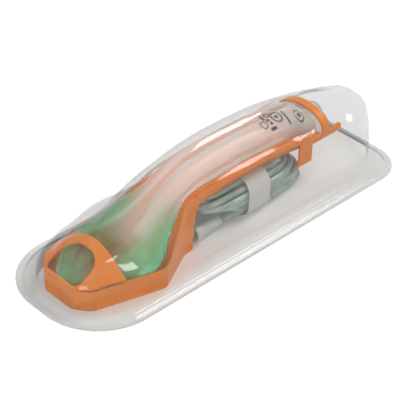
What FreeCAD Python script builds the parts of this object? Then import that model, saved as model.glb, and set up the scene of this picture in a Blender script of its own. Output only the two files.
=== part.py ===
"""Airway in its sealed blister pack: lid, clear tray, orange cradle, airway and suction tube.

Millimetres. The pack lies on its lid. The origin is the middle of the lid's underside, +Z up,
+X towards the connector end, and the cuff's tip points to -X.
"""
import FreeCAD, Part
import math
import os

# Pack
FLANGE_LENGTH = 270.0
FLANGE_WIDTH = 94.0
FLANGE_FRONT_RADIUS = 40.0
FLANGE_REAR_RADIUS = 25.0
SEAL_WIDTH = 5.0
STEP_HEIGHT = 2.0
FILM = 0.5
LID_THICKNESS = 0.3

# Dome over the contents, from the front end to the rear end: x, half width, height and
# squareness of its shoulders, height of its crown, and the height and the half width of
# the bulge that covers the hood and the stem
DOME_STATIONS = (
    (-123.0, 13.0, 11.0, 3.0, 12.0, 12.0, 8.0),
    (-122.2, 17.0, 17.5, 4.0, 18.5, 18.5, 10.0),
    (-119.5, 20.8, 21.5, 4.5, 23.5, 24.5, 13.0),
    (-114.0, 24.8, 23.5, 5.0, 27.0, 31.0, 15.0),
    (-105.0, 28.2, 24.5, 5.0, 29.0, 36.0, 17.0),
    (-95.0, 32.0, 25.0, 5.0, 30.0, 39.0, 17.0),
    (-82.0, 35.0, 25.0, 5.0, 29.5, 42.0, 16.5),
    (-69.0, 36.8, 26.5, 4.6, 30.5, 47.0, 16.5),
    (-60.0, 35.4, 29.0, 4.0, 32.5, 51.0, 17.0),
    (-51.0, 31.5, 33.0, 3.3, 36.5, 54.5, 17.3),
    (-42.0, 29.0, 38.0, 2.8, 40.0, 57.5, 17.6),
    (-30.0, 30.5, 43.0, 2.8, 43.5, 61.0, 18.0),
    (-14.0, 31.0, 46.0, 2.8, 46.0, 63.5, 18.4),
    (6.0, 31.0, 47.0, 2.8, 47.0, 64.5, 18.6),
    (36.0, 31.0, 46.4, 2.8, 46.4, 63.6, 18.8),
    (56.0, 31.0, 45.4, 2.8, 45.4, 60.8, 19.4),
    (75.0, 31.0, 46.0, 2.9, 46.0, 55.8, 22.5),
    (92.0, 31.0, 44.8, 3.1, 45.0, 52.0, 24.0),
    (106.0, 30.4, 43.2, 3.4, 43.8, 48.2, 23.0),
    (115.5, 28.6, 41.6, 3.8, 42.4, 45.2, 20.0),
    (120.3, 25.6, 39.0, 4.0, 39.5, 41.0, 18.0),
    (122.5, 21.0, 32.5, 4.0, 33.0, 33.5, 14.0),
)
SECTION_POINTS = 33
BULGE_FOOT = 15.0
BULGE_SQUARENESS = 2.2
CREASE_RADIUS = 1.6

# Cradle
CRADLE_WALL = 1.3
CRADLE_FLOOR = 1.2
CRADLE_REAR = 78.0
TRAY_FRONT = -120.5
TRAY_FRONT_HALF = 11.5
TRAY_CORNER_X = -113.5
TRAY_CORNER_HALF = 21.5
TRAY_WIDEST_X = -67.5
TRAY_WIDEST_HALF = 34.2
TRAY_CORNER_RADIUS = 4.0
TRAY_WIDEST_RADIUS = 6.0
TRAY_WALL_TOP = 14.0
WAIST_X = -38.0
WAIST_RADIUS = 14.0
RAIL_HALF = 18.5
RAIL_HEIGHT = 3.6
RAIL_LIP = 2.4
RAIL_FRONT_Z = 35.5
RAIL_CREST_X = 25.0
RAIL_CREST_Z = 41.0
RAIL_REAR_Z = 35.6
RAMP_FRONT_X = -61.5
RAMP_REAR_X = -42.5
RAMP_REAR_DROP = 2.5
TROUGH_DEPTH = 8.2
LEG_REAR_X = -32.0
LEG_SHOULDER_X = -30.4
LEG_SHOULDER_DROP = 9.0
LEG_TOP_X = -27.0
REAR_LEG_FRONT = 60.0
REAR_LEG_REAR = 71.5
REAR_LEG_BOTTOM = 18.0
HOOD_HALF = 29.5
HOOD_FULLNESS = 0.5
HOOD_TOP = 30.0
HOOD_SHEET = 1.4
HOOD_EDGE_DROP = 0.5
HOOD_STATIONS = ((-121.0, 0.05), (-117.0, 0.2), (-110.0, 0.52), (-102.0, 0.8),
                 (-97.5, 0.92), (-92.5, 1.0))
MOUTH_FRONT_X = -118.6
MOUTH_REAR_X = -98.8
MOUTH_HALF = 14.0
MOUTH_CORNER = 8.5

FLOOR_STATIONS = ((-78.0, 0.0), (-64.0, 2.0), (-50.0, 9.8), (-38.0, 20.0))
TOOL_HEIGHT = 60.0

# Airway: x, half width, underside and top of the gel body, from the cuff's tip to the rear
AIRWAY_STATIONS = (
    (-118.0, 3.6, 10.2, 14.2),
    (-114.5, 9.0, 7.6, 17.2),
    (-108.0, 14.5, 5.2, 21.0),
    (-101.0, 18.5, 3.9, 23.8),
    (-94.0, 22.0, 3.0, 25.2),
    (-82.0, 27.0, 2.2, 25.8),
    (-70.0, 29.5, 2.6, 27.0),
    (-60.0, 25.4, 5.6, 32.5),
    (-50.0, 19.4, 13.8, 38.5),
    (-41.0, 15.6, 22.0, 44.0),
    (-32.0, 13.6, 29.2, 50.0),
    (-22.0, 13.6, 32.6, 53.0),
    (-8.0, 14.0, 33.2, 54.6),
    (10.0, 14.0, 34.4, 55.0),
    (28.0, 14.0, 34.6, 55.0),
    (46.0, 14.0, 33.8, 54.6),
    (62.0, 14.0, 32.0, 53.2),
    (72.0, 14.2, 30.2, 50.6),
    (78.0, 14.4, 29.0, 46.3),
    (84.0, 14.4, 28.0, 45.4),
)
LUMEN_RADIUS = 6.0
LUMEN_STATIONS = ((-67.0, 7.0), (-58.0, 15.6), (-48.0, 25.0), (-37.0, 34.6), (-24.0, 41.2),
                  (-8.0, 43.6), (10.0, 44.6), (28.0, 44.7), (46.0, 44.1), (62.0, 42.4), (73.0, 40.2))
LUMEN_Y = -2.5
GASTRIC_RADIUS = 1.9
GASTRIC_STATIONS = ((-119.0, 0.0, 12.0), (-106.0, 3.0, 16.5), (-92.0, 9.0, 18.5), (-72.0, 14.0, 19.0),
                    (-55.0, 12.0, 24.0), (-38.0, 9.6, 34.0), (-22.0, 9.2, 41.5), (10.0, 9.2, 44.5),
                    (46.0, 9.4, 44.0), (74.0, 11.2, 39.6), (90.0, 12.8, 36.0))
BOWL_STATIONS = ((-105.0, 3.0, 6.2), (-100.0, 8.5, 8.6), (-88.0, 13.0, 10.6), (-74.0, 13.6, 12.2),
                 (-63.0, 10.0, 13.0), (-58.0, 5.0, 9.0))
AIRWAY_END_X = 87.0
CONNECTOR_OUTER = 15.0
CONNECTOR_BORE = 12.8
CONNECTOR_LENGTH = 21.0
CONNECTOR_COLLAR = 17.4
COLLAR_LENGTH = 2.4
CONNECTOR_MOUTH_X = 91.0
CONNECTOR_MOUTH_Z = 35.6
CONNECTOR_SLOPE = 12.0
FIT = 0.1
SOFT_GAP = 0.3
RING_FRONT_X = 79.5
RING_WIDTH = 5.6
RING_WALL = 1.8
RING_HALF = 20.0
RING_TOP = 48.3
RING_BOTTOM = 23.5
RING_SQUARENESS = 2.2
HOOK_LENGTH = 11.0
HOOK_WIDTH = 2.6
HOOK_HEIGHT = 3.3
HOOK_Z = 31.8

# Suction tube, folded in a hank under the cradle's arch
TUBE_DIAMETER = 4.0
HANK_HEIGHT = 28.2
HANK_FRONT_X = -28.0
HANK_REAR_X = 66.0
HANK_LOW_HEIGHT = 14.0
HANK_LOW_REAR_X = 76.0
HANK_LOW_HALF = 18.0
HANK_HALF = 20.2
HANK_ROUND = 10.0
HANK_LOW_ROUND = 6.8
HANK_LIFT = 10.6
HANK_LIFT_X = -3.0
HANK_LOW_X = 12.0
FUNNEL_LENGTH = 21.0
FUNNEL_MOUTH = 10.4
FUNNEL_NECK = 6.4
FUNNEL_BORE = 7.6
FUNNEL_MOUTH_X = -25.5
FUNNEL_Y = -12.5
BAND_FRONT_X = 13.5
BAND_WIDTH = 18.5
BAND_THICKNESS = 0.25
BAND_CLEARANCE = 0.25

V = FreeCAD.Vector


def save(name, shape):
    """Writes one named piece and prints its size and volume."""
    shape.exportStep("parts/" + name + ".step")
    box = shape.BoundBox
    print(name, shape.isValid(), len(shape.Solids), round(shape.Volume, 1),
          [round(v, 1) for v in (box.XMin, box.XMax, box.YMin, box.YMax, box.ZMin, box.ZMax)])


def corner_wire(points, radii):
    """A closed wire through points, each corner rounded by its radius."""
    edges = []
    last = None
    first = None
    count = len(points)
    for i in range(count):
        before, here, after = points[i - 1], points[i], points[(i + 1) % count]
        inward = (before - here).normalize()
        onward = (after - here).normalize()
        half = inward.getAngle(onward) / 2
        if radii[i] > 0 and half < math.pi / 2 - 0.01:
            reach = radii[i] / math.tan(half)
            start = here + inward * reach
            end = here + onward * reach
            middle_way = (inward + onward).normalize()
            middle = here + middle_way * (radii[i] / math.sin(half) - radii[i])
            arc = Part.Arc(start, middle, end).toShape()
        else:
            start = end = here
            arc = None
        if last is not None and (start - last).Length > 1e-6:
            edges.append(Part.LineSegment(last, start).toShape())
        if first is None:
            first = start
        if arc is not None:
            edges.append(arc)
        last = end
    if (first - last).Length > 1e-6:
        edges.append(Part.LineSegment(last, first).toShape())
    return Part.Wire(edges)


def prism(wire, way):
    """The solid swept by a flat closed wire."""
    return Part.Face(wire).extrude(way)


def flange_plan(inset, z):
    """The flange's outline, moved inwards by inset."""
    x, y = FLANGE_LENGTH / 2 - inset, FLANGE_WIDTH / 2 - inset
    front = FLANGE_FRONT_RADIUS - inset
    rear = FLANGE_REAR_RADIUS - inset
    points = [V(-x, -y, z), V(x, -y, z), V(x, y, z), V(-x, y, z)]
    return corner_wire(points, [front, rear, rear, front])


def superellipse(part, power):
    """Height of a unit superellipse at a part of its half width."""
    return (1 - min(1.0, part) ** power) ** (1 / power)


def dome_height(y, station, offset, base):
    """Height of the dome's skin at one place of a section: shoulders, crown and bulge."""
    half, shoulder, power, crown, ridge, bulge = station[1:]
    low = base + (shoulder - offset - base) * superellipse(abs(y) / (half - offset), power)
    low += (crown - shoulder) * 0.5 * (1 + math.cos(math.pi * min(1.0, abs(y) / half)))
    if abs(y) >= bulge - offset:
        return low
    foot = BULGE_FOOT if ridge - offset > BULGE_FOOT + 1 else base
    high = foot + (ridge - offset - foot) * superellipse(abs(y) / (bulge - offset), BULGE_SQUARENESS)
    top = max(low, high)
    return top + CREASE_RADIUS * math.log(sum(math.exp((z - top) / CREASE_RADIUS) for z in (low, high)))


def dome_section(station, offset, base):
    """One closed section of the dome, moved inwards by offset."""
    x, half, power = station[0], station[1] - offset, station[3]
    points = []
    for i in range(SECTION_POINTS):
        turn = math.pi * i / (SECTION_POINTS - 1)
        y = -half * math.copysign(abs(math.cos(turn)) ** (2 / power), math.cos(turn))
        points.append(V(x, y, dome_height(y, station, offset, base)))
    points[0].z = points[-1].z = base
    curve = Part.BSplineCurve()
    curve.interpolate(points)
    return Part.Wire([curve.toShape(), Part.LineSegment(points[-1], points[0]).toShape()])


def dome(offset, base):
    """The dome as one solid, lofted through its stations."""
    sections = []
    last = len(DOME_STATIONS) - 1
    for i, station in enumerate(DOME_STATIONS):
        x = station[0]
        if i == 0:
            x += offset
        if i == last:
            x -= offset
        sections.append(dome_section((x,) + station[1:], offset, base))
    return Part.makeLoft(sections, True, False)


def peel_lid():
    """The peel-off sheet that closes the pack."""
    return prism(flange_plan(0, 0), V(0, 0, LID_THICKNESS))


def blister_tray():
    """The clear tray: a sealing band, a raised flat and the dome, all of one film."""
    seat = LID_THICKNESS
    rim = prism(flange_plan(0, seat), V(0, 0, FILM))
    flat = prism(flange_plan(SEAL_WIDTH, seat), V(0, 0, STEP_HEIGHT + FILM))
    top = seat + STEP_HEIGHT + FILM
    outside = rim.fuse([flat, dome(0, top - FILM)])
    under_flat = prism(flange_plan(SEAL_WIDTH + FILM, 0), V(0, 0, seat + STEP_HEIGHT))
    return outside.cut([under_flat, dome(FILM, seat + STEP_HEIGHT - FILM)]).removeSplitter()


def rail_top(x):
    """Height of the rails' upper edge, a parabola on each side of the crest."""
    if x < RAIL_CREST_X:
        reach, drop = RAIL_CREST_X - WAIST_X, RAIL_CREST_Z - RAIL_FRONT_Z
    else:
        reach, drop = CRADLE_REAR - RAIL_CREST_X, RAIL_CREST_Z - RAIL_REAR_Z
    return RAIL_CREST_Z - drop * ((x - RAIL_CREST_X) / reach) ** 2


def rail_edges(x_from, lower):
    """The rails' curve from x_from to the rear as exact parabolas, lowered by a given amount."""
    edges = []
    for start, end, far in ((x_from, RAIL_CREST_X, WAIST_X), (RAIL_CREST_X, CRADLE_REAR, CRADLE_REAR)):
        drop = RAIL_CREST_Z - rail_top(far)
        slope = -2 * drop * (start - RAIL_CREST_X) / (far - RAIL_CREST_X) ** 2
        middle = V((start + end) / 2, 0, rail_top(start) - lower + slope * (end - start) / 2)
        curve = Part.BezierCurve()
        curve.setPoles([V(start, 0, rail_top(start) - lower), middle, V(end, 0, rail_top(end) - lower)])
        edges.append(curve.toShape())
    return edges


def across(wire):
    """A side view's closed wire, extruded over the cradle's whole width."""
    face = Part.Face(wire)
    face.translate(V(0, -TRAY_WIDEST_HALF - 1, 0))
    return face.extrude(V(0, 2 * TRAY_WIDEST_HALF + 2, 0))


def rail_band(x_from, above, below):
    """All that lies between two depths under the rails' upper edge, from x_from to the rear."""
    x_to = CRADLE_REAR
    sides = [Part.LineSegment(V(x, 0, rail_top(x) - above), V(x, 0, rail_top(x) - below)).toShape()
             for x in (x_from, x_to)]
    edges = rail_edges(x_from, above) + rail_edges(x_from, below) + sides
    return across(Part.Wire(Part.__sortEdges__(edges)))


def cradle_plan(inset, z):
    """The cradle's outline in plan, moved inwards by inset."""
    rear = CRADLE_REAR + 1
    half = [
        V(TRAY_FRONT + inset, -TRAY_FRONT_HALF + 0.4 * inset, z),
        V(TRAY_CORNER_X + 0.4 * inset, -TRAY_CORNER_HALF + 0.9 * inset, z),
        V(TRAY_WIDEST_X, -TRAY_WIDEST_HALF + inset, z),
        V(WAIST_X - 0.4 * inset, -RAIL_HALF + inset, z),
        V(rear, -RAIL_HALF + inset, z),
    ]
    radii = [TRAY_CORNER_RADIUS - inset, TRAY_CORNER_RADIUS + 4, TRAY_WIDEST_RADIUS - inset,
             WAIST_RADIUS + inset, 0]
    far = [V(p.x, -p.y, p.z) for p in half]
    return corner_wire(far[::-1] + half, radii[::-1] + radii)


def tray_profile():
    """The side walls in front of the rails seen from the side: tray, ramp and front leg."""
    bottom = LID_THICKNESS
    front = TRAY_FRONT - 2
    rail_rear = rail_top(LEG_TOP_X)
    corners = [
        V(LEG_TOP_X, 0, rail_rear),
        V(LEG_TOP_X, 0, rail_rear - RAIL_HEIGHT),
        V(LEG_SHOULDER_X, 0, rail_rear - RAIL_HEIGHT - LEG_SHOULDER_DROP),
        V(LEG_REAR_X, 0, bottom),
        V(front, 0, bottom),
        V(front, 0, TRAY_WALL_TOP),
        V(RAMP_FRONT_X, 0, TRAY_WALL_TOP),
        V(RAMP_REAR_X, 0, RAIL_FRONT_Z - RAMP_REAR_DROP),
        V(WAIST_X, 0, RAIL_FRONT_Z),
    ]
    return across(corner_wire(corners, [0, 4, 8, 0, 0, 0, 9, 6, 5]))


def hood_height(y, top):
    """Height of the hood's outer face at one place across its section."""
    bell = 0.5 * (1 + math.cos(math.pi * min(1.0, abs(y) / HOOD_HALF)))
    edge = TRAY_WALL_TOP - HOOD_EDGE_DROP
    return edge + (top - edge) * bell ** HOOD_FULLNESS


def hood_section(x, top):
    """One bell-shaped section of the hood's sheet."""
    upper_points = []
    for i in range(SECTION_POINTS):
        y = TRAY_WIDEST_HALF * (2 * i / (SECTION_POINTS - 1) - 1)
        upper_points.append(V(x, y, hood_height(y, top)))
    lower_points = [V(p.x, p.y, p.z - HOOD_SHEET) for p in upper_points]
    upper = Part.BSplineCurve()
    upper.interpolate(upper_points)
    lower = Part.BSplineCurve()
    lower.interpolate(lower_points)
    near = Part.LineSegment(lower_points[0], upper_points[0]).toShape()
    far = Part.LineSegment(upper_points[-1], lower_points[-1]).toShape()
    return Part.Wire([upper.toShape(), far, lower.toShape(), near])


def hood():
    """The vault over the cuff's tip, with its mouth open upwards and forwards."""
    rise = HOOD_TOP - TRAY_WALL_TOP
    sections = [hood_section(x, TRAY_WALL_TOP + rise * part) for x, part in HOOD_STATIONS]
    sheet = Part.makeLoft(sections, True, False)
    sheet = sheet.common(prism(cradle_plan(0.2, 0), V(0, 0, HOOD_TOP + 5)))
    corners = [V(MOUTH_FRONT_X, -MOUTH_HALF, 0), V(MOUTH_REAR_X, -MOUTH_HALF, 0),
               V(MOUTH_REAR_X, MOUTH_HALF, 0), V(MOUTH_FRONT_X, MOUTH_HALF, 0)]
    front, rear = MOUTH_CORNER / 2, 1.2 * MOUTH_CORNER
    mouth = corner_wire(corners, [front, rear, rear, front])
    return sheet.cut(prism(mouth, V(0, 0, HOOD_TOP + 5)))


def tray_floor():
    """The floor seen from the side: flat under the cuff, then up to the trough's front end."""
    start = LID_THICKNESS
    end = rail_top(LEG_TOP_X) - TROUGH_DEPTH
    front = V(TRAY_FRONT - 1, 0, start)
    rise = [V(x, 0, start + up) for x, up in FLOOR_STATIONS] + [V(LEG_TOP_X, 0, end)]
    slope = rail_top(LEG_TOP_X + 1) - rail_top(LEG_TOP_X)
    edges = []
    for lift in (V(0, 0, 0), V(0, 0, CRADLE_FLOOR)):
        curve = Part.BSplineCurve()
        curve.interpolate(Points=[p + lift for p in rise], InitialTangent=V(1, 0, 0),
                          FinalTangent=V(1, 0, slope).normalize())
        edges += [Part.LineSegment(front + lift, rise[0] + lift).toShape(), curve.toShape()]
    for p in (front, rise[-1]):
        edges.append(Part.LineSegment(p, p + V(0, 0, CRADLE_FLOOR)).toShape())
    return across(Part.Wire(Part.__sortEdges__(edges)))


def long_box(x_from, half):
    """A box along the cradle from x_from to beyond its rear."""
    return Part.makeBox(CRADLE_REAR - x_from + 2, 2 * half, TOOL_HEIGHT, V(x_from, -half, 0))


def rails():
    """The two rails with their lips and the recessed trough between them, and the rear legs."""
    front = LEG_TOP_X
    trough_half = RAIL_HALF - RAIL_LIP
    wall_half = RAIL_HALF - CRADLE_WALL
    block = rail_band(front, 0, TROUGH_DEPTH).common(long_box(front, RAIL_HALF))
    hollow = rail_band(front, -CRADLE_WALL, TROUGH_DEPTH - CRADLE_FLOOR)
    hollow = hollow.common(long_box(front, trough_half - CRADLE_WALL))
    under_lip = rail_band(front, CRADLE_WALL, TROUGH_DEPTH + 1)
    under_lip = under_lip.common(long_box(front, wall_half)).cut(long_box(front - 1, trough_half))
    below = rail_band(front, RAIL_HEIGHT, TROUGH_DEPTH + 1).cut(long_box(front - 1, trough_half))
    legs = Part.makeBox(REAR_LEG_REAR - REAR_LEG_FRONT, 2 * RAIL_HALF, RAIL_REAR_Z - REAR_LEG_BOTTOM,
                        V(REAR_LEG_FRONT, -RAIL_HALF, REAR_LEG_BOTTOM))
    legs = legs.cut(long_box(front, wall_half))
    return block.cut([hollow, under_lip, below]).fuse(legs)


def cradle():
    """The orange moulding that holds the airway."""
    outer = prism(cradle_plan(0, 0), V(0, 0, TOOL_HEIGHT))
    inner = prism(cradle_plan(CRADLE_WALL, 0), V(0, 0, TOOL_HEIGHT))
    walls = outer.cut(inner).common(tray_profile())
    floor = tray_floor().common(outer)
    return walls.fuse([floor, hood(), rails()]).removeSplitter()


def oval(x, y, z, half_width, half_height, power=2.0):
    """A closed oval section standing across the length."""
    points = []
    for i in range(24):
        turn = 2 * math.pi * i / 24
        c, d = math.cos(turn), math.sin(turn)
        across = math.copysign(abs(c) ** (2 / power), c)
        upward = math.copysign(abs(d) ** (2 / power), d)
        points.append(V(x, y + half_width * across, z + half_height * upward))
    curve = Part.BSplineCurve()
    curve.interpolate(Points=points, PeriodicFlag=True)
    return Part.Wire([curve.toShape()])


def gel_body():
    """The outer form of the cuff and stem, lofted through its stations."""
    sections = []
    for x, half, low, high in AIRWAY_STATIONS:
        sections.append(oval(x, 0, (low + high) / 2, half, (high - low) / 2))
    return Part.makeLoft(sections, True, False)


def end_block():
    """The wide rear end of the stem, inside the ring."""
    half = RING_HALF - RING_WALL - FIT
    high = RING_TOP - RING_WALL - FIT
    low = RING_BOTTOM + RING_WALL + FIT
    front = CRADLE_REAR + 0.5
    section = oval(front, 0, (high + low) / 2, half, (high - low) / 2, RING_SQUARENESS)
    return prism(section, V(AIRWAY_END_X - front, 0, 0))


def connector_axis():
    """Middle of the connector's mouth, and its way into the stem."""
    slope = math.radians(CONNECTOR_SLOPE)
    return V(CONNECTOR_MOUTH_X, 0, CONNECTOR_MOUTH_Z), V(-math.cos(slope), 0, math.sin(slope))


def connector():
    """The 15 mm breathing connector: a tube with a collar at its mouth."""
    mouth, way = connector_axis()
    tube = Part.makeCylinder(CONNECTOR_OUTER / 2, CONNECTOR_LENGTH, mouth, way)
    collar = Part.makeCylinder(CONNECTOR_COLLAR / 2, COLLAR_LENGTH, mouth, way)
    bore = Part.makeCylinder(CONNECTOR_BORE / 2, CONNECTOR_LENGTH + 2, mouth - way, way)
    return tube.fuse(collar).cut(bore).removeSplitter()


def airway_body():
    """The gel moulding: cuff with its bowl, stem, breathing passage and gastric channel."""
    mouth, way = connector_axis()
    body = gel_body().fuse(end_block())
    socket = Part.makeCylinder(CONNECTOR_OUTER / 2 + FIT, CONNECTOR_LENGTH + FIT, mouth, way)
    rebate = Part.makeCylinder(CONNECTOR_COLLAR / 2 + FIT, COLLAR_LENGTH + FIT, mouth, way)
    lumen = Part.makeLoft([oval(x, LUMEN_Y * min(1.0, (73.0 - x) / 30), z, LUMEN_RADIUS, LUMEN_RADIUS)
                           for x, z in LUMEN_STATIONS], True, False)
    gastric = Part.makeLoft([oval(x, y, z, GASTRIC_RADIUS, GASTRIC_RADIUS)
                             for x, y, z in GASTRIC_STATIONS], True, False)
    bowl = Part.makeLoft([oval(x, 0, 0, half, high) for x, half, high in BOWL_STATIONS], True, False)
    return body.cut([socket, rebate, lumen, gastric, bowl])


def hook_ring():
    """The coloured ring round the stem's rear end, with a strap hook on each side."""
    middle = (RING_TOP + RING_BOTTOM) / 2
    high = (RING_TOP - RING_BOTTOM) / 2
    way = V(RING_WIDTH, 0, 0)
    outer = prism(oval(RING_FRONT_X, 0, middle, RING_HALF, high, RING_SQUARENESS), way)
    inner = prism(oval(RING_FRONT_X, 0, middle, RING_HALF - RING_WALL, high - RING_WALL,
                       RING_SQUARENESS), V(AIRWAY_END_X + SOFT_GAP - RING_FRONT_X, 0, 0))
    ring = outer.cut(inner)
    rear = RING_FRONT_X + RING_WIDTH
    for side in (-1, 1):
        reach = RING_HALF - 0.1
        y = side * (reach - HOOK_WIDTH / 2) - HOOK_WIDTH / 2
        root, bend, tip = rear - RING_WALL, rear + 0.7 * HOOK_LENGTH, rear + HOOK_LENGTH
        low, high_z, lift = HOOK_Z, HOOK_Z + HOOK_HEIGHT, HOOK_HEIGHT / 2
        profile = [V(root, y, low), V(bend, y, low), V(tip, y, low + lift),
                   V(tip, y, high_z + lift), V(bend, y, high_z), V(root, y, high_z)]
        hook = prism(corner_wire(profile, [0, 3, 0.8, 0.8, 3, 0]), V(0, HOOK_WIDTH, 0))
        ring = ring.fuse(hook)
    return ring.cut(inner).removeSplitter()


def hank_bottom():
    """The hank lies on the paper band's lower run."""
    return LID_THICKNESS + BAND_THICKNESS + BAND_CLEARANCE


def hank_slab(x_from, x_to, half, high, rounding):
    """A slab with round ends and rounded edges, the outer form of turns that lie on each other."""
    low = hank_bottom()
    corners = [V(x_from, -half, low), V(x_to, -half, low), V(x_to, half, low), V(x_from, half, low)]
    slab = prism(corner_wire(corners, [half - 0.01] * 4), V(0, 0, high))
    edges = [e for e in slab.Edges if e.BoundBox.ZMax - e.BoundBox.ZMin < 1e-3]
    return slab.makeFillet(rounding, edges)


def suction_tube():
    """The outer form of the folded suction tube.

    Its lowest turns fan out to the rear, and the funnel under its front end lifts it there.
    """
    low = hank_bottom()
    hank = hank_slab(HANK_FRONT_X, HANK_REAR_X, HANK_HALF, HANK_HEIGHT, HANK_ROUND)
    fan = hank_slab(HANK_LOW_X, HANK_LOW_REAR_X, HANK_LOW_HALF, HANK_LOW_HEIGHT, HANK_LOW_ROUND)
    front, wide = HANK_FRONT_X - 5, HANK_HALF + 5
    under = [V(front, -wide, low - 5), V(HANK_LOW_X, -wide, low - 5), V(HANK_LOW_X, -wide, low),
             V(HANK_LIFT_X, -wide, low + HANK_LIFT), V(front, -wide, low + HANK_LIFT)]
    lifted = hank.cut(prism(corner_wire(under, [0] * 5), V(0, 2 * wide, 0)))
    return lifted.fuse(fan).removeSplitter()


def tube_funnel():
    """The suction tube's funnel connector, lying on the lid."""
    z = LID_THICKNESS + FUNNEL_MOUTH / 2
    start = V(FUNNEL_MOUTH_X, FUNNEL_Y, z)
    way = V(1, 0, 0)
    lip = FUNNEL_LENGTH / 6
    barrel = Part.makeCylinder(FUNNEL_MOUTH / 2, lip, start, way)
    taper = Part.makeCone(FUNNEL_MOUTH / 2 - 0.6, FUNNEL_NECK / 2, FUNNEL_LENGTH - lip,
                          start + way * lip, way)
    bore = Part.makeCone(FUNNEL_BORE / 2, TUBE_DIAMETER / 2, 0.8 * FUNNEL_LENGTH, start, way)
    passage = Part.makeCylinder(TUBE_DIAMETER / 2 - 0.6, FUNNEL_LENGTH, start, way)
    return barrel.fuse(taper).cut([bore, passage]).removeSplitter()


def paper_band():
    """The paper strip wrapped once round the hank."""
    gap = BAND_CLEARANCE
    low, high = hank_bottom(), hank_bottom() + HANK_HEIGHT
    wires = []
    for grow in (gap + BAND_THICKNESS, gap):
        x, y = BAND_FRONT_X, HANK_HALF + grow
        corners = [V(x, -y, low - grow), V(x, y, low - grow), V(x, y, high + grow), V(x, -y, high + grow)]
        wires.append(corner_wire(corners, [HANK_ROUND + grow] * 4))
    way = V(BAND_WIDTH, 0, 0)
    return prism(wires[0], way).cut(prism(wires[1], way))


def main():
    os.makedirs("parts", exist_ok=True)
    save("peel_lid", peel_lid())
    save("blister_tray", blister_tray())
    save("cradle", cradle())
    save("airway_body", airway_body())
    save("connector", connector())
    save("hook_ring", hook_ring())
    save("suction_tube", suction_tube())
    save("tube_funnel", tube_funnel())
    save("paper_band", paper_band())


main()
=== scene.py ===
# %% [markdown]
# # Airway in its sealed blister pack
# The pack is a clear thermoformed tray, closed underneath by a peel-off sheet. Inside it lies an
# orange cradle that carries a soft gel airway, and under the cradle's arch a suction tube is
# folded in a hank. The solids come from the CAD model; this lesson gives each of them its look.

# %% Load the frame
import bpy
import bmesh
import math
from mathutils import Matrix, Vector


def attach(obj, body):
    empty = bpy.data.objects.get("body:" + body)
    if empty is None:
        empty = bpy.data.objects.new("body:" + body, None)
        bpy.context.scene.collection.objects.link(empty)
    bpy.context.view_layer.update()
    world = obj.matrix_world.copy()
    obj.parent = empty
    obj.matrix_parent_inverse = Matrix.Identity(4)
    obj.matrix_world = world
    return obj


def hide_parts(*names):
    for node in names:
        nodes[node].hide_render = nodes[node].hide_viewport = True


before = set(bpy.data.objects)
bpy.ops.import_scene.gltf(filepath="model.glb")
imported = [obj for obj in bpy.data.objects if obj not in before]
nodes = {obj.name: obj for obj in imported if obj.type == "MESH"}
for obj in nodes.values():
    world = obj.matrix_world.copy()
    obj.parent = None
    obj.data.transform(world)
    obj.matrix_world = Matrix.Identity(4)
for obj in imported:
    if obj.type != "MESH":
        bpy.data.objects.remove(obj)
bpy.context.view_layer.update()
MM = 0.001


# %% [markdown]
# ## Colours and node helpers
# Colours are written as sRGB hex values, as a paint chart gives them, and one function turns
# them to the linear values that the shaders use. A second function adds one node with its
# settings and links, so that each material below reads as a short recipe. The last two join a
# few nodes that several materials share: a noise pattern of a real size, and a surface that
# lets the lamps shine through it.

# %% Colours and nodes
def paint(hex_value):
    """Linear colour of an sRGB hex value."""
    parts = [int(hex_value[i:i + 2], 16) / 255 for i in (1, 3, 5)]
    return [c / 12.92 if c <= 0.04045 else ((c + 0.055) / 1.055) ** 2.4 for c in parts] + [1.0]


def add(owner, kind, links=None, stops=(), **settings):
    """One node of a material or a world. links maps its inputs to other nodes' outputs, stops
    gives a colour ramp its places and hex colours, and settings fills the rest."""
    node = owner.node_tree.nodes.new(kind)
    for name, value in settings.items():
        if hasattr(node, name):
            setattr(node, name, value)
        else:
            node.inputs[name.replace("_", " ")].default_value = value
    if stops:
        elements = node.color_ramp.elements
        elements[0].position, elements[1].position = stops[0][0], stops[-1][0]
        for place, _ in stops[1:-1]:
            elements.new(place)
        for element, (_, hex_value) in zip(elements, stops):
            element.color = paint(hex_value)
    for name, output in (links or {}).items():
        owner.node_tree.links.new(output, node.inputs[name])
    return node


def new_material(name):
    """An empty material with an output node, and the output."""
    material = bpy.data.materials.new(name)
    material.use_nodes = True
    material.node_tree.nodes.clear()
    return material, material.node_tree.nodes.new("ShaderNodeOutputMaterial")


def grain(material, size_mm, detail=2.0, stretch=(1, 1, 1)):
    """Noise in object space whose blotches measure about size_mm."""
    place = add(material, "ShaderNodeTexCoord")
    scaled = add(material, "ShaderNodeMapping", {"Vector": place.outputs["Object"]},
                 Scale=stretch)
    return add(material, "ShaderNodeTexNoise", {"Vector": scaled.outputs["Vector"]},
               Scale=1 / (size_mm * MM), Detail=detail)


def see_through(material, output, skin, tint):
    """Joins a surface to the output, and lets lamps shine through it with a tint."""
    path = add(material, "ShaderNodeLightPath")
    clear = add(material, "ShaderNodeBsdfTransparent", Color=paint(tint))
    mix = add(material, "ShaderNodeMixShader", {0: path.outputs["Is Shadow Ray"],
              1: skin.outputs["BSDF"], 2: clear.outputs["BSDF"]})
    material.node_tree.links.new(mix.outputs["Shader"], output.inputs["Surface"])


print("white as the shaders see it:", paint("#FFFFFF"))


# %% [markdown]
# ## Making a finished piece from a solid
# A CAD solid arrives as loose triangles. A copy is merged, so that its curved faces can be
# shaded smoothly and gloss runs over them without facets. Where a small bevel follows, the
# triangles of each flat face are joined again first, and the bevel then catches the light on
# the hard edges as a moulded edge does. Sharp edges are kept where the faces turn by more than
# the crease angle.

# %% Finished copies of the solids
WELD = 0.00001
FLAT_ANGLE = math.radians(0.6)


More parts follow.
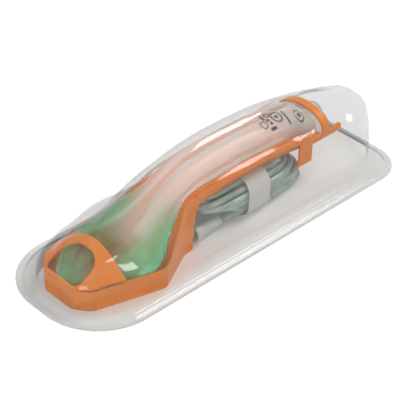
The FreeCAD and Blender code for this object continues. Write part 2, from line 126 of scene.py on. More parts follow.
def mesh_object(bm, name, crease=None):
    """Turns a bmesh into an object in the scene, smooth up to the crease angle if it has one."""
    mesh = bpy.data.meshes.new(name)
    bm.to_mesh(mesh)
    bm.free()
    if crease:
        mesh.shade_smooth()
        mesh.set_sharp_from_angle(angle=math.radians(crease))
    obj = bpy.data.objects.new(name, mesh)
    bpy.context.scene.collection.objects.link(obj)
    return obj


def finish_piece(obj, material):
    """Gives a new piece its material and its body."""
    obj.data.materials.clear()
    obj.data.materials.append(material)
    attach(obj, "root")


def dressed(node, name, material, edge_mm=0.0, crease=32):
    """A merged, smooth copy of a CAD node that is shown in its place."""
    bm = bmesh.new()
    bm.from_mesh(nodes[node].data)
    bmesh.ops.remove_doubles(bm, verts=bm.verts, dist=WELD)
    if edge_mm:
        bmesh.ops.dissolve_limit(bm, angle_limit=FLAT_ANGLE, verts=bm.verts, edges=bm.edges)
    obj = mesh_object(bm, name, crease)
    if edge_mm:
        bevel = obj.modifiers.new("moulded edge", "BEVEL")
        bevel.width, bevel.segments = edge_mm * MM, 2
        bevel.limit_method, bevel.angle_limit = "ANGLE", math.radians(crease)
        bevel.harden_normals = True
    finish_piece(obj, material)
    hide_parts(node)
    print(name, "faces", len(obj.data.polygons))
    return obj


# %% [markdown]
# ## Materials
# The tray is clear polyester film, drawn over a mould while hot. Film that thin hardly bends what
# is seen through it: it shows by a mirror gloss that grows towards its edges, a faint milky haze,
# and the grey that builds up where one looks along it. So it is mixed from those three, and the
# share of each follows the angle of view, as on real film. That angle comes from Layer Weight's
# Facing, because a Fresnel value mirrors everything inside the wall and would turn it black.

# %% Clear polyester film
HAZE_SHARE = 0.015
MIRROR_RISE = 5
film, film_out = new_material("clear polyester film, thermoformed")
film_waves = grain(film, 22, detail=1.5)
film_bump = add(film, "ShaderNodeBump", {"Height": film_waves.outputs["Fac"]},
                Distance=0.4 * MM, Strength=0.5)
facing = add(film, "ShaderNodeLayerWeight", Blend=0.5)
film_tint = add(film, "ShaderNodeValToRGB", {"Fac": facing.outputs["Facing"]},
                stops=((0.68, "#F2F2F2"), (1.0, "#EEEEEE")))
clear = add(film, "ShaderNodeBsdfTransparent", {"Color": film_tint.outputs["Color"]})
haze = add(film, "ShaderNodeBsdfDiffuse", Color=paint("#E9EAEA"))
hazy = add(film, "ShaderNodeMixShader", {1: clear.outputs["BSDF"], 2: haze.outputs["BSDF"]},
           Fac=HAZE_SHARE)
gloss = add(film, "ShaderNodeBsdfGlossy", {"Normal": film_bump.outputs["Normal"]},
            Color=paint("#FFFFFF"), Roughness=0.07)
slope = add(film, "ShaderNodeMath", {0: facing.outputs["Facing"]}, operation="POWER")
slope.inputs[1].default_value = MIRROR_RISE
mirror = add(film, "ShaderNodeMapRange", {"Value": slope.outputs["Value"]},
             To_Min=0.022, To_Max=0.3)
film_mix = add(film, "ShaderNodeMixShader", {"Fac": mirror.outputs["Result"],
               1: hazy.outputs["Shader"], 2: gloss.outputs["BSDF"]})
film.node_tree.links.new(film_mix.outputs["Shader"], film_out.inputs["Surface"])
print("made:", film.name)

# %% [markdown]
# The peel-off sheet is spun-bonded polyethylene: white, matt, with faint swirls of fibre. A noise
# stretched across the sheet gives both the swirls' tone and a shallow bump.

# %% Peel-off sheet
sheet, sheet_out = new_material("spun-bonded polyethylene sheet")
fibres = grain(sheet, 1.6, detail=4, stretch=(1, 2.2, 1))
sheet_tone = add(sheet, "ShaderNodeValToRGB", {"Fac": fibres.outputs["Fac"]},
                 stops=((0.3, "#F2F1EE"), (0.7, "#F9F8F5")))
sheet_bump = add(sheet, "ShaderNodeBump", {"Height": fibres.outputs["Fac"]},
                 Distance=0.05 * MM, Strength=0.4)
sheet_skin = add(sheet, "ShaderNodeBsdfPrincipled",
                 {"Base Color": sheet_tone.outputs["Color"],
                  "Normal": sheet_bump.outputs["Normal"]},
                 Roughness=0.72)
sheet.node_tree.links.new(sheet_skin.outputs["BSDF"], sheet_out.inputs["Surface"])
print("made:", sheet.name)

# %% [markdown]
# The cradle and the hook ring are moulded polypropylene with an orange pigment. It lets a
# little light into the wall, so thin parts glow amber and corners never go black. Flow of the
# melt leaves long, faint clouds in the tone, and the mould a spark-eroded texture. The real
# texture is too fine to show here, so it is drawn at 0.8 mm.

# %% Orange polypropylene
orange, orange_out = new_material("orange polypropylene, injection moulded")
flow = grain(orange, 14, detail=2, stretch=(0.6, 1, 1))
orange_tone = add(orange, "ShaderNodeValToRGB", {"Fac": flow.outputs["Fac"]},
                  stops=((0.3, "#EE7E0C"), (0.7, "#F6901A")))
spark = grain(orange, 0.8, detail=2)
orange_bump = add(orange, "ShaderNodeBump", {"Height": spark.outputs["Fac"]},
                  Distance=0.03 * MM, Strength=0.35)
orange_skin = add(orange, "ShaderNodeBsdfPrincipled",
                  {"Base Color": orange_tone.outputs["Color"],
                   "Normal": orange_bump.outputs["Normal"]},
                  Roughness=0.3, Subsurface_Weight=0.2, Subsurface_Scale=0.002,
                  Specular_IOR_Level=0.2, Subsurface_Radius=(1.0, 0.5, 0.15))
orange.node_tree.links.new(orange_skin.outputs["BSDF"], orange_out.inputs["Surface"])
print("made:", orange.name)

# %% [markdown]
# The airway is one moulding of soft thermoplastic gel. Its thick cuff is a clear green, and its
# stem is nearly colourless, so the orange trough under it shines through. Along the middle the
# colour goes from the stem through an amber in the bowl, which is painted orange glow and shade
# of the pan below, to the pale green tip, and towards the cuff's sides it turns to the full
# green. Lamps pass the gel with a faint tint.

# %% Soft gel, green in the cuff and nearly colourless in the stem
TIP_AT, RIDGE_FROM = -0.112, -0.066
CUFF_TO, STEM_FROM = -0.050, -0.036
MIDDLE, RIM = 0.008, 0.019
# the sockets of a Mix node that carry colours: the first, the second and the result
COLOUR_A, COLOUR_B, COLOUR_OUT = 6, 7, 2
gel, gel_out = new_material("thermoplastic elastomer gel, moulded")
gel_place = add(gel, "ShaderNodeTexCoord")
gel_axes = add(gel, "ShaderNodeSeparateXYZ", {"Vector": gel_place.outputs["Object"]})
gel_side = add(gel, "ShaderNodeMath", {0: gel_axes.outputs["Y"]}, operation="ABSOLUTE")
in_rim = add(gel, "ShaderNodeMapRange", {"Value": gel_side.outputs["Value"]},
             From_Min=MIDDLE, From_Max=RIM)
in_cuff = add(gel, "ShaderNodeMapRange", {"Value": gel_axes.outputs["X"]},
              From_Min=STEM_FROM, From_Max=CUFF_TO)
in_bowl = add(gel, "ShaderNodeMapRange", {"Value": gel_axes.outputs["X"]},
              From_Min=RIDGE_FROM, From_Max=TIP_AT)
thick = add(gel, "ShaderNodeMath", {0: in_rim.outputs["Result"], 1: in_cuff.outputs["Result"]},
            operation="MULTIPLY")
# the two amber stops in the bowl are painted orange glow and shade from the pan under the gel
middle_tone_and_painted_glow = add(gel, "ShaderNodeValToRGB", {"Fac": in_bowl.outputs["Result"]},
                  stops=((0.0, "#F9F3F0"), (0.4, "#A8843C"), (0.72, "#A8843C"),
                         (1.0, "#A8DCA8")))
gel_tone = add(gel, "ShaderNodeMix", {0: thick.outputs["Value"],
               COLOUR_A: middle_tone_and_painted_glow.outputs["Color"]}, data_type="RGBA")
gel_tone.inputs[COLOUR_B].default_value = paint("#7FE6AE")
gel_bump = add(gel, "ShaderNodeBump", {"Height": grain(gel, 9, detail=1).outputs["Fac"]},
               Distance=0.5 * MM, Strength=0.35)
gel_skin = add(gel, "ShaderNodeBsdfPrincipled",
               {"Base Color": gel_tone.outputs[COLOUR_OUT],
                "Normal": gel_bump.outputs["Normal"]},
               Roughness=0.2, IOR=1.2, Transmission_Weight=0.74, Subsurface_Weight=0.2,
               Subsurface_Scale=0.004, Subsurface_Radius=(0.9, 1.0, 0.9))
see_through(gel, gel_out, gel_skin, "#EEF6F0")
print("made:", gel.name)

# %% [markdown]
# The connector is clear rigid polycarbonate, and the suction tube soft greenish vinyl. The
# funnel on the tube's end is the same vinyl, thicker and whiter. All three let light through,
# so each is a transmitting surface with its own share of cloudiness, and casts a pale shadow.
# Moulding and extruding leave them smooth, which keeps their highlights small and bright.

# %% Clear connector
rigid, rigid_out = new_material("clear polycarbonate, injection moulded")
rigid_bump = add(rigid, "ShaderNodeBump", {"Height": grain(rigid, 6).outputs["Fac"]},
                 Distance=0.05 * MM, Strength=0.3)
rigid_skin = add(rigid, "ShaderNodeBsdfPrincipled", {"Normal": rigid_bump.outputs["Normal"]},
                 Base_Color=paint("#F4F8F5"), Roughness=0.08, IOR=1.35,
                 Transmission_Weight=0.95)
see_through(rigid, rigid_out, rigid_skin, "#F2F6F3")
print("made:", rigid.name)

# %% Vinyl tube and funnel
vinyl, vinyl_out = new_material("soft polyvinyl chloride tube, extruded")
vinyl_tone = add(vinyl, "ShaderNodeValToRGB", {"Fac": grain(vinyl, 9).outputs["Fac"]},
                 stops=((0.3, "#A2BAAE"), (0.7, "#D2DED4")))
vinyl_bump = add(vinyl, "ShaderNodeBump", {"Height": grain(vinyl, 3).outputs["Fac"]},
                 Distance=0.05 * MM, Strength=0.3)
vinyl_skin = add(vinyl, "ShaderNodeBsdfPrincipled",
                 {"Base Color": vinyl_tone.outputs["Color"],
                  "Normal": vinyl_bump.outputs["Normal"]},
                 Roughness=0.1, IOR=1.5, Transmission_Weight=0.35)
see_through(vinyl, vinyl_out, vinyl_skin, "#B4CCBF")

cloudy, cloudy_out = new_material("soft polyvinyl chloride funnel, moulded")
cloudy_tone = add(cloudy, "ShaderNodeValToRGB", {"Fac": grain(cloudy, 7).outputs["Fac"]},
                  stops=((0.3, "#D8DAD2"), (0.7, "#E8EAE2")))
cloudy_bump = add(cloudy, "ShaderNodeBump", {"Height": grain(cloudy, 2).outputs["Fac"]},
                  Distance=0.05 * MM, Strength=0.3)
cloudy_skin = add(cloudy, "ShaderNodeBsdfPrincipled",
                  {"Base Color": cloudy_tone.outputs["Color"],
                   "Normal": cloudy_bump.outputs["Normal"]},
                  Roughness=0.28, IOR=1.5, Transmission_Weight=0.3, Subsurface_Weight=0.3,
                  Subsurface_Scale=0.002)
see_through(cloudy, cloudy_out, cloudy_skin, "#C9CCC2")
print("made:", vinyl.name, "and", cloudy.name)

# %% [markdown]
# The band round the hank is plain uncoated paper: matt and a little grey, with a pulp that
# shows both as tone and as a very shallow bump. The flecks are drawn at 1.2 mm, coarser than
# real ones, so that they show.

# %% Paper band
band_paper, band_out = new_material("uncoated paper strip")
pulp = grain(band_paper, 1.2, detail=5, stretch=(1, 1, 2))
band_tone = add(band_paper, "ShaderNodeValToRGB", {"Fac": pulp.outputs["Fac"]},
                stops=((0.3, "#CFCDC9"), (0.7, "#DAD8D4")))
band_bump = add(band_paper, "ShaderNodeBump", {"Height": pulp.outputs["Fac"]},
                Distance=0.04 * MM, Strength=0.4)
band_skin = add(band_paper, "ShaderNodeBsdfPrincipled",
                {"Base Color": band_tone.outputs["Color"],
                 "Normal": band_bump.outputs["Normal"]},
                Roughness=0.8)
band_paper.node_tree.links.new(band_skin.outputs["BSDF"], band_out.inputs["Surface"])
print("materials:", len(bpy.data.materials))

# %% [markdown]
# ## The pieces from the solids
# Each solid is shown by its smooth copy. Only the film tray and the hank of tube are modelled
# afresh, further down. The airway is soft and has few hard edges, so it takes a wider crease
# angle than the hard pieces.

# %% Dress the solids
dressed("peel_lid", "peel_sheet", sheet)
dressed("cradle", "orange_cradle", orange)
airway = dressed("airway_body", "gel_airway", gel, crease=50)
dressed("connector", "clear_connector", rigid, edge_mm=0.2)
dressed("hook_ring", "orange_ring", orange, edge_mm=0.25)
funnel = dressed("tube_funnel", "vinyl_funnel", cloudy, edge_mm=0.15)
band = dressed("paper_band", "paper_wrap", band_paper)

# %% [markdown]
# ## The clear tray
# Film is drawn down over a mould, so its form is a row of cross-sections: two shoulders, a low
# crown, and a bulge that follows the hood and the stem, with a soft crease on each side of it.
# A few stations along the pack hold the sizes that an eye can check against the photograph, and
# a smooth curve through them gives every section between.

# %% Cross-sections of the dome
FLAT_TOP = 2.8
# x, half width, height and squareness of the shoulders, crown, height and half width of the bulge
DOME_STATIONS = (
    (-123.0, 13.0, 11.0, 3.0, 12.0, 12.0, 8.0),
    (-122.2, 17.0, 17.5, 4.0, 18.5, 18.5, 10.0),
    (-119.5, 20.8, 21.5, 4.5, 23.5, 24.5, 13.0),
    (-114.0, 24.8, 23.1, 5.0, 26.6, 31.0, 15.0),
    (-105.0, 28.2, 23.9, 5.0, 28.4, 36.0, 17.0),
    (-95.0, 32.0, 23.9, 5.0, 28.9, 39.0, 17.0),
    (-82.0, 35.0, 23.4, 5.0, 27.9, 42.8, 16.5),
    (-69.0, 36.8, 26.7, 4.6, 30.7, 48.6, 16.5),
    (-60.0, 35.4, 30.2, 4.0, 33.7, 52.8, 17.0),
    (-51.0, 31.5, 34.6, 3.3, 38.1, 55.9, 17.3),
    (-42.0, 29.0, 39.5, 2.8, 41.5, 58.1, 17.6),
    (-30.0, 30.5, 43.0, 2.8, 43.5, 61.0, 18.0),
    (-14.0, 31.0, 46.0, 2.8, 46.0, 63.5, 18.4),
    (6.0, 31.2, 47.0, 2.8, 47.0, 64.5, 18.6),
    (36.0, 31.8, 46.4, 2.8, 46.4, 63.6, 18.8),
    (56.0, 32.2, 45.4, 2.8, 45.4, 60.8, 19.4),
    (75.0, 32.6, 46.0, 2.9, 46.0, 55.8, 23.4),
    (92.0, 33.0, 42.0, 2.6, 42.2, 51.4, 25.2),
    (100.0, 33.0, 40.9, 2.8, 41.1, 49.4, 21.6),
    (107.0, 32.6, 40.4, 3.1, 40.6, 47.0, 17.4),
    (113.0, 30.3, 40.0, 3.3, 40.2, 44.9, 14.1),
    (118.0, 27.0, 39.8, 3.6, 40.0, 42.9, 11.7),
    (122.0, 23.5, 39.5, 3.7, 39.7, 41.3, 9.8),
    (125.0, 20.2, 39.4, 3.8, 39.6, 40.0, 8.4),
    (127.0, 17.6, 39.2, 3.9, 39.4, 39.5, 7.5),
    (128.2, 14.8, 38.2, 4.0, 38.4, 38.5, 6.9),
    (128.8, 12.6, 36.4, 4.0, 36.6, 36.7, 6.0),
)
BULGE_FOOT, BULGE_SQUARENESS, CREASE = 15.0, 2.2, 1.1
TINY = 1e-6


def arch(part, power):
    """Height of a unit superellipse at a part of its half width."""
    return (1 - min(1.0, part) ** power) ** (1 / power)


def dome_height(y, station):
    """Height of the film over one place of a section, in mm."""
    half, shoulder, power, crown, ridge, bulge = station[1:]
    low = FLAT_TOP + (shoulder - FLAT_TOP) * arch(abs(y) / half, power)
    low += (crown - shoulder) * 0.5 * (1 + math.cos(math.pi * min(1.0, abs(y) / half)))
    if abs(y) >= bulge:
        return low
    foot = BULGE_FOOT if ridge > BULGE_FOOT + 1 else FLAT_TOP
    high = foot + (ridge - foot) * arch(abs(y) / bulge, BULGE_SQUARENESS)
    top = max(low, high)
    return top + CREASE * math.log(sum(math.exp((z - top) / CREASE) for z in (low, high)))


def between(x):
    """The station at any x: a smooth curve through the four nearest ones."""
    i = max(k for k, st in enumerate(DOME_STATIONS[:-1]) if st[0] <= x + TINY)
    a, b = DOME_STATIONS[i], DOME_STATIONS[i + 1]
    before = DOME_STATIONS[max(i - 1, 0)]
    after = DOME_STATIONS[min(i + 2, len(DOME_STATIONS) - 1)]
    span = b[0] - a[0]
    t = (x - a[0]) / span
    values = [x]
    for k in range(1, len(a)):
        slope_a = (b[k] - before[k]) / max(b[0] - before[0], TINY) * span
        slope_b = (after[k] - a[k]) / max(after[0] - a[0], TINY) * span
        values.append((2 * t ** 3 - 3 * t ** 2 + 1) * a[k] + (t ** 3 - 2 * t ** 2 + t) * slope_a
                      + (3 * t ** 2 - 2 * t ** 3) * b[k] + (t ** 3 - t ** 2) * slope_b)
    return values


print("stations:", len(DOME_STATIONS), "top of the dome, mm:",
      max(dome_height(0, station) for station in DOME_STATIONS))

# %% [markdown]
# Each section is drawn as a chain of vertices and bridged to the next one, and a flat face
# closes each end. Points gather at the shoulders, where the form turns fastest, because each
# chain follows the section's own superellipse.

# %% Dome of the film tray
ACROSS = 56
LONG_STEP, SECTIONS_LONG, SECTIONS_SHORT = 3, 4, 3
SAME_PLACE = 1e-7
bm = bmesh.new()
rows = []
for first, second in zip(DOME_STATIONS, DOME_STATIONS[1:]):
    steps = SECTIONS_LONG if second[0] - first[0] > LONG_STEP else SECTIONS_SHORT
    rows += [first[0] + (second[0] - first[0]) * k / steps for k in range(steps)]
rows.append(DOME_STATIONS[-1][0])
chains = []
for x in rows:
    station = between(x)
    chain = []
    for k in range(ACROSS + 1):
        turn = math.pi * k / ACROSS
        y = -station[1] * math.copysign(abs(math.cos(turn)) ** (2 / station[3]), math.cos(turn))
        z = FLAT_TOP if k in (0, ACROSS) else dome_height(y, station)
        chain.append(bm.verts.new((x * MM, y * MM, z * MM)))
    chains.append([bm.edges.new(pair) for pair in zip(chain, chain[1:])])
for near, far in zip(chains, chains[1:]):
    bmesh.ops.bridge_loops(bm, edges=near + far)
for chain in (chains[0], chains[-1]):
    foot = [v for e in chain for v in e.verts if abs(v.co.z - FLAT_TOP * MM) < SAME_PLACE]
    closing = bm.edges.new((foot[0], foot[-1]))
    bmesh.ops.contextual_create(bm, geom=chain + [closing])
foot_edges = [e for e in bm.edges if e.is_boundary]
print("sections:", len(rows), "edges at the foot:", len(foot_edges))

# %% [markdown]
# The flange is a flat sheet with round corners. Its outline is drawn as loops that step up from
# the sealed rim to the raised flat, and the flat is filled between the last loop and the foot
# of the dome. The film's real thickness is added last, inwards.

# %% Flange and wall of the film tray
HALF_LENGTH, HALF_WIDTH = 135.0, 47.0
ARC_STEPS = 18
# side along x and y, radius in mm and first angle in degrees of each corner
CORNERS = ((-1, -1, 40.0, 180), (1, -1, 25.0, 270), (1, 1, 25.0, 0), (-1, 1, 40.0, 90))
# inset and height of each loop of the flange, from the edge inwards, mm
RIM_STEPS = ((0.0, 0.85), (4.4, 0.85), (4.9, 1.2), (5.0, 2.4), (5.5, FLAT_TOP))
FILM = 0.5


def rim_loop(bm, inset, z):
    """The flange's outline as a closed chain of edges, moved inwards by inset; mm."""
    x, y = HALF_LENGTH - inset, HALF_WIDTH - inset
    loop = []
    for sign_x, sign_y, radius, begin in CORNERS:
        r = radius - inset
        for k in range(ARC_STEPS + 1):
            turn = math.radians(begin + 90 / ARC_STEPS * k)
            loop.append(bm.verts.new(((sign_x * (x - r) + r * math.cos(turn)) * MM,
                                      (sign_y * (y - r) + r * math.sin(turn)) * MM, z * MM)))
    return [bm.edges.new((loop[k], loop[(k + 1) % len(loop)])) for k in range(len(loop))]


rims = [rim_loop(bm, inset, z) for inset, z in RIM_STEPS]
for outer, inner in zip(rims, rims[1:]):
    bmesh.ops.bridge_loops(bm, edges=outer + inner)
bmesh.ops.triangle_fill(bm, edges=rims[-1] + foot_edges, use_beauty=True)
bmesh.ops.remove_doubles(bm, verts=bm.verts, dist=TINY)
bmesh.ops.recalc_face_normals(bm, faces=bm.faces)
tray = mesh_object(bm, "film_tray", crease=40)
wall = tray.modifiers.new("film thickness", "SOLIDIFY")
wall.thickness, wall.offset, wall.use_rim = FILM * MM, -1, True
finish_piece(tray, film)
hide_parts("blister_tray")
print("film tray faces:", len(tray.data.polygons))

# %% [markdown]
# Under the flange's edge the film is melted to the sheet. The seal is a thin pale band, smoother
# than the sheet, as wide as the flat rim outside the flange's step. Two of the flange's own
# outlines bound it, so it follows the round corners.

# %% Heat seal
SEAL_FROM, SEAL_TO, SEAL_HEIGHT, SEAL_THICKNESS = 0.3, 4.3, 0.34, 0.03
seal, seal_out = new_material("heat seal lacquer, melted")
seal_tone = add(seal, "ShaderNodeValToRGB", {"Fac": grain(seal, 3, detail=3).outputs["Fac"]},
                stops=((0.3, "#F0F0EE"), (0.7, "#F8F8F6")))
seal_bump = add(seal, "ShaderNodeBump", {"Height": grain(seal, 1.5).outputs["Fac"]},
                Distance=0.03 * MM, Strength=0.3)
seal_skin = add(seal, "ShaderNodeBsdfPrincipled",
                {"Base Color": seal_tone.outputs["Color"],
                 "Normal": seal_bump.outputs["Normal"]},
                Roughness=0.45)
seal.node_tree.links.new(seal_skin.outputs["BSDF"], seal_out.inputs["Surface"])


def face_up(bm):
    """Turns the faces of a flat mesh so that all of them look up."""
    bmesh.ops.recalc_face_normals(bm, faces=bm.faces)
    if sum(f.normal.z for f in bm.faces) < 0:
        bmesh.ops.reverse_faces(bm, faces=bm.faces)


bm = bmesh.new()
bmesh.ops.triangle_fill(bm, edges=(rim_loop(bm, SEAL_FROM, SEAL_HEIGHT)
                                   + rim_loop(bm, SEAL_TO, SEAL_HEIGHT)), use_beauty=True)
face_up(bm)
bmesh.ops.solidify(bm, geom=bm.faces, thickness=SEAL_THICKNESS * MM)
seal_band = mesh_object(bm, "heat_seal")
finish_piece(seal_band, seal)
print("seal faces:", len(seal_band.data.polygons))

# %% [markdown]
# The stem carries its size in dark print: a plain number in a ring, a depth line and a few bars,
# and a small ring with a dot nearer the connector. Print is too thin to have a height that one
# sees, so each mark is drawn flat, cut fine enough to bend, and laid just over the gel by
# dropping its points onto the surface.

# %% Shapes of the marks
LETTER_SHARE = 0.7
LETTER_SWELL = 0.12


def ring_mark(bm, x, y, radius, line):
    """A flat ring of a given line width, mm."""
    loops = []
    for r in (radius, radius - line):
        made = bmesh.ops.create_circle(bm, segments=40, radius=r * MM,
                                       matrix=Matrix.Translation((x * MM, y * MM, 0)))
        loops += list({e for v in made["verts"] for e in v.link_edges})
    bmesh.ops.bridge_loops(bm, edges=loops)


def bar_mark(bm, x, y, across, along):
    """A flat bar with its sizes across and along the stem, mm."""
    bmesh.ops.create_grid(bm, x_segments=2, y_segments=8, size=0.5, matrix=
                          Matrix.Translation((x * MM, y * MM, 0))
                          @ Matrix.Diagonal((along * MM, across * MM, 1, 1)))


def number_mark(bm, text, x, y, height):
    """A plain number, made a mesh and then turned to read along the stem, mm."""
    curve = bpy.data.curves.new("number", "FONT")
    curve.body, curve.size = text, height * MM / LETTER_SHARE
    curve.align_x, curve.align_y = "CENTER", "CENTER"
    curve.offset = LETTER_SWELL * MM
    letter = bpy.data.objects.new("number", curve)
    bpy.context.scene.collection.objects.link(letter)
    mesh = bpy.data.meshes.new_from_object(letter)
    mesh.transform(Matrix.Translation((x * MM, y * MM, 0)) @ Matrix.Rotation(math.pi / 2, 4, "Z"))
    bm.from_mesh(mesh)
    bpy.data.objects.remove(letter)


print("kinds of mark: number, ring, bar")

# %% Printed marks
from mathutils.bvhtree import BVHTree
NUMBER_X, NUMBER_Y, NUMBER_HEIGHT, INK = 50.4, -5.3, 4.0, 0.12 * MM
# place along and across the stem from the number, radius and line width, mm
RING_MARKS = ((0.0, 0.0, 4.1, 1.0), (-5.2, 3.8, 2.2, 0.9), (-12.3, -1.6, 2.8, 0.8),
              (16.2, -4.1, 3.6, 0.7), (16.2, -4.1, 1.4, 1.0))
# place along and across the stem from the number, size across and along it, mm
BAR_MARKS = ((-9.6, 3.4, 4.6, 1.8), (-7.4, 0.2, 2.0, 2.2), (-6.8, -2.6, 2.0, 2.2),
             (-7.4, -5.6, 1.6, 4.8), (6.4, -2.1, 9.0, 1.3))
LONGEST_EDGE = 1.2 * MM
OVER_THE_PACK = 0.1
ink, ink_out = new_material("pad print ink")
ink_tone = add(ink, "ShaderNodeValToRGB", {"Fac": grain(ink, 0.9, detail=3).outputs["Fac"]},
               stops=((0.3, "#121214"), (0.7, "#343436")))
ink_skin = add(ink, "ShaderNodeBsdfPrincipled", {"Base Color": ink_tone.outputs["Color"]},
               Roughness=0.4)
ink.node_tree.links.new(ink_skin.outputs["BSDF"], ink_out.inputs["Surface"])
bm = bmesh.new()
number_mark(bm, "4", NUMBER_X, NUMBER_Y, NUMBER_HEIGHT)
for x, y, radius, line in RING_MARKS:
    ring_mark(bm, NUMBER_X + x, NUMBER_Y + y, radius, line)
for x, y, across, along in BAR_MARKS:
    bar_mark(bm, NUMBER_X + x, NUMBER_Y + y, across, along)
bmesh.ops.remove_doubles(bm, verts=bm.verts, dist=SAME_PLACE)
bmesh.ops.subdivide_edges(bm, cuts=1,
                          edges=[e for e in bm.edges if e.calc_length() > LONGEST_EDGE])
bmesh.ops.triangulate(bm, faces=bm.faces)
gel_tree = BVHTree.FromObject(airway, bpy.context.evaluated_depsgraph_get())
for v in bm.verts:
    hit = gel_tree.ray_cast(Vector((v.co.x, v.co.y, OVER_THE_PACK)), Vector((0, 0, -1)))
    v.co.z = hit[0].z + INK
face_up(bm)
marks = mesh_object(bm, "size_marks")
finish_piece(marks, ink)
print("mark faces:", len(marks.data.polygons))

# %% [markdown]
# ## The suction tube
# The tube leaves the funnel's neck, and is wound in long flat turns that lie on each other under
# the cradle's arch. The lowest and the highest turn are narrower, because the paper band rounds
# the hank off. The turns differ in length, so their ends fan out a little, as hand-wound turns do.

# %% Route of the hank
TUBE = 4.0
FUNNEL_NECK_AT = Vector((-4.5, -12.5, 5.5))
# the first points of the tube from the funnel's neck, mm
NECK_ROUTE = ((-1.0, 0, 0), (4, 0, -0.1), (9, 0.1, -1.0), (15, 0.0, -2.0), (22, -0.5, -2.4))
LAYER, FIRST_Z, FIRST_RUN_X = 3.9, 2.85, 12.0
# rear end, front end and half width of each turn, from the lowest up
TURNS = ((73.5, 4.0, 13.2), (68.5, 1.5, 15.9), (71.0, -11.5, 16.0), (61.5, -21.5, 17.6),
         (63.5, -25.0, 17.9), (58.5, -20.0, 15.7), (62.0, -14.0, 12.3))
RUN_PARTS, FIRST_RUN_PARTS = (0.35, 0.65, 0.95), (0.5, 0.95)
# shares of a layer that the tube has climbed: along the near run, at the rear end, along the far
# run and at the start of the front end
NEAR_CLIMB = 0.25
REAR_FROM, REAR_TO = 0.3, 0.55
FAR_FROM, FAR_CLIMB = 0.6, 0.15
FRONT_FROM = 0.8
END_POINTS = 6


def end_turn(points, x_end, half, next_half, z_from, z_to, way):
    """Points round one end of a turn; way is +1 at the rear and -1 at the front."""
    middle = (half + next_half) / 2
    for step in range(1, END_POINTS + 1):
        turn = math.pi * step / END_POINTS
        x = x_end - way * middle * (1 - math.sin(turn))
        y = -way * (half + (next_half - half) * step / END_POINTS) * math.cos(turn)
        points.append((x, y, z_from + (z_to - z_from) * step / END_POINTS))


route = [tuple(FUNNEL_NECK_AT + Vector(place)) for place in NECK_ROUTE]
for layer, (rear, front, half) in enumerate(TURNS):
    z = FIRST_Z + LAYER * layer
    wider = TURNS[min(layer + 1, len(TURNS) - 1)][2]
    start = front if layer else FIRST_RUN_X
    for part in (RUN_PARTS if layer else FIRST_RUN_PARTS):
        x = start + half + (rear - start - 2 * half) * part
        route.append((x, -half, z + LAYER * NEAR_CLIMB * part))
    if layer == len(TURNS) - 1:
        break
    end_turn(route, rear, half, half, z + LAYER * REAR_FROM, z + LAYER * REAR_TO, 1)
    for part in RUN_PARTS:
        x = rear - half + (front + 2 * half - rear) * part
        route.append((x, half, z + LAYER * (FAR_FROM + FAR_CLIMB * part)))
    end_turn(route, front, half, wider, z + LAYER * FRONT_FROM, z + LAYER, -1)
print("tube points:", len(route))

# %% [markdown]
# The route becomes a NURBS curve with a round bevel, because such a curve runs smoothly near its
# points and keeps the tube's diameter in every bend.

# %% The tube as a cord
line = bpy.data.curves.new("suction_tube_line", "CURVE")
line.dimensions = "3D"
spline = line.splines.new("NURBS")
spline.points.add(len(route) - 1)
for point, place in zip(spline.points, route):
    point.co = (place[0] * MM, place[1] * MM, place[2] * MM, 1)
spline.order_u = 3
spline.use_endpoint_u = True
spline.resolution_u = 6
line.bevel_depth = TUBE / 2 * MM
line.bevel_resolution = 4
line.use_fill_caps = True
hank = bpy.data.objects.new("vinyl_tube", line)
bpy.context.scene.collection.objects.link(hank)
finish_piece(hank, vinyl)
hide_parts("suction_tube")
print("tube of", TUBE, "mm, turns:", len(TURNS))

# %% [markdown]
# ## Floor, light and camera
# The pack stands on a white table. The table's diffuse surface takes the pack's shadow, and a
# glow that only the camera, mirrors and clear pieces see lifts it to the white of the
# photograph, without adding light to the pack.

# %% Floor
FLOOR_HALF = 3.0
bm = bmesh.new()
bmesh.ops.create_grid(bm, x_segments=1, y_segments=1, size=FLOOR_HALF)
floor = mesh_object(bm, "white_table")
table, table_out = new_material("white laminate table")
seen = add(table, "ShaderNodeLightPath")
laminate = add(table, "ShaderNodeBsdfDiffuse", Color=paint("#F6F6F6"))
straight = add(table, "ShaderNodeMath", {0: seen.outputs["Is Camera Ray"],
               1: seen.outputs["Is Glossy Ray"]}, operation="MAXIMUM")
any_view = add(table, "ShaderNodeMath", {0: straight.outputs["Value"],
               1: seen.outputs["Is Transmission Ray"]}, operation="MAXIMUM")
glow = add(table, "ShaderNodeEmission", {"Strength": any_view.outputs["Value"]},
           Color=paint("#6A6A6A"))
lit = add(table, "ShaderNodeAddShader", {0: laminate.outputs["BSDF"],
          1: glow.outputs["Emission"]})
table.node_tree.links.new(lit.outputs["Shader"], table_out.inputs["Surface"])
floor.data.materials.append(table)
print("table half width, m:", FLOOR_HALF)

# %% [markdown]
# A pale room lights the pack from all sides, and glossy surfaces see it a little brighter, as
# white walls look in a mirror. A very large lamp above gives soft shadows. One lamp at the
# front left lights the cradle's walls, and a small one at the right draws the bright streaks
# along the film and the rail.

# %% World and lamps
ROOM_LIGHT, ROOM_IN_MIRRORS = 0.5, 0.85
AIM_AT = (0, 0, 0.02)
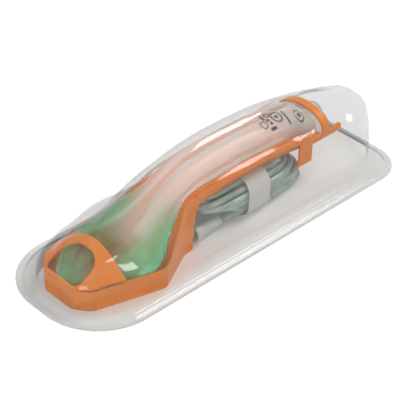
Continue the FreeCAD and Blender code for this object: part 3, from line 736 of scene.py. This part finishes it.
# name, place and size in metres, power in watts
LAMPS = (("top_softbox", (-0.15, 0.3, 1.1), 1.8, 4.2),
         ("front_softbox", (-1.1, -0.7, 0.5), 0.7, 8),
         ("side_softbox", (0.6, -0.2, 0.95), 0.45, 7))
world = bpy.data.worlds.new("pale room")
world.use_nodes = True
room = world.node_tree.nodes["Background"]
room.inputs["Color"].default_value = (1, 1, 1, 1)
room_path = add(world, "ShaderNodeLightPath")
room_light = add(world, "ShaderNodeMapRange", {"Value": room_path.outputs["Is Glossy Ray"]},
                 To_Min=ROOM_LIGHT, To_Max=ROOM_IN_MIRRORS)
world.node_tree.links.new(room_light.outputs["Result"], room.inputs["Strength"])
bpy.context.scene.world = world
for name, place, size, watts in LAMPS:
    data = bpy.data.lights.new(name, "AREA")
    data.shape, data.size, data.energy = "SQUARE", size, watts
    lamp = bpy.data.objects.new(name, data)
    lamp.location = place
    lamp.rotation_euler = (Vector(AIM_AT) - Vector(place)).to_track_quat("-Z", "Y").to_euler()
    bpy.context.scene.collection.objects.link(lamp)
print("lamps:", len(LAMPS))

# %% [markdown]
# The camera's angles, its distance and its focal length in pixels were fitted to the outline
# of the pack in the photograph, so that the render can be laid over it. The view rolls a
# little, which tilts the camera's own right and up directions.

# %% Camera
FRAME_PIXELS = 400
FOCAL_PIXELS = 1503.39
SENSOR = 36.0
DISTANCE = 0.9
FAR_CLIP = 20
AZIMUTH, ELEVATION, ROLL = (math.radians(a) for a in (-44.96, 35.94, 1.7))
AIM = Vector((-17.12, -8.83, 25.0)) * MM
back = Vector((math.sin(AZIMUTH) * math.cos(ELEVATION), -math.cos(AZIMUTH) * math.cos(ELEVATION),
               math.sin(ELEVATION)))
right = (-back).cross(Vector((0, 0, 1))).normalized()
up = right.cross(-back)
tilted_right = right * math.cos(ROLL) + up * math.sin(ROLL)
tilted_up = up * math.cos(ROLL) - right * math.sin(ROLL)
shot = bpy.data.cameras.new("studio_camera")
shot.sensor_width = SENSOR
shot.lens = SENSOR * FOCAL_PIXELS / FRAME_PIXELS
shot.clip_end = FAR_CLIP
camera = bpy.data.objects.new("studio_camera", shot)
turned = Matrix((tilted_right, tilted_up, back)).transposed().to_4x4()
turned.translation = AIM + back * DISTANCE
camera.matrix_world = turned
bpy.context.scene.collection.objects.link(camera)
bpy.context.scene.camera = camera
bpy.context.scene.view_settings.view_transform = "Standard"
print("lens:", round(shot.lens, 2), "camera at:", [round(c, 3) for c in camera.location])
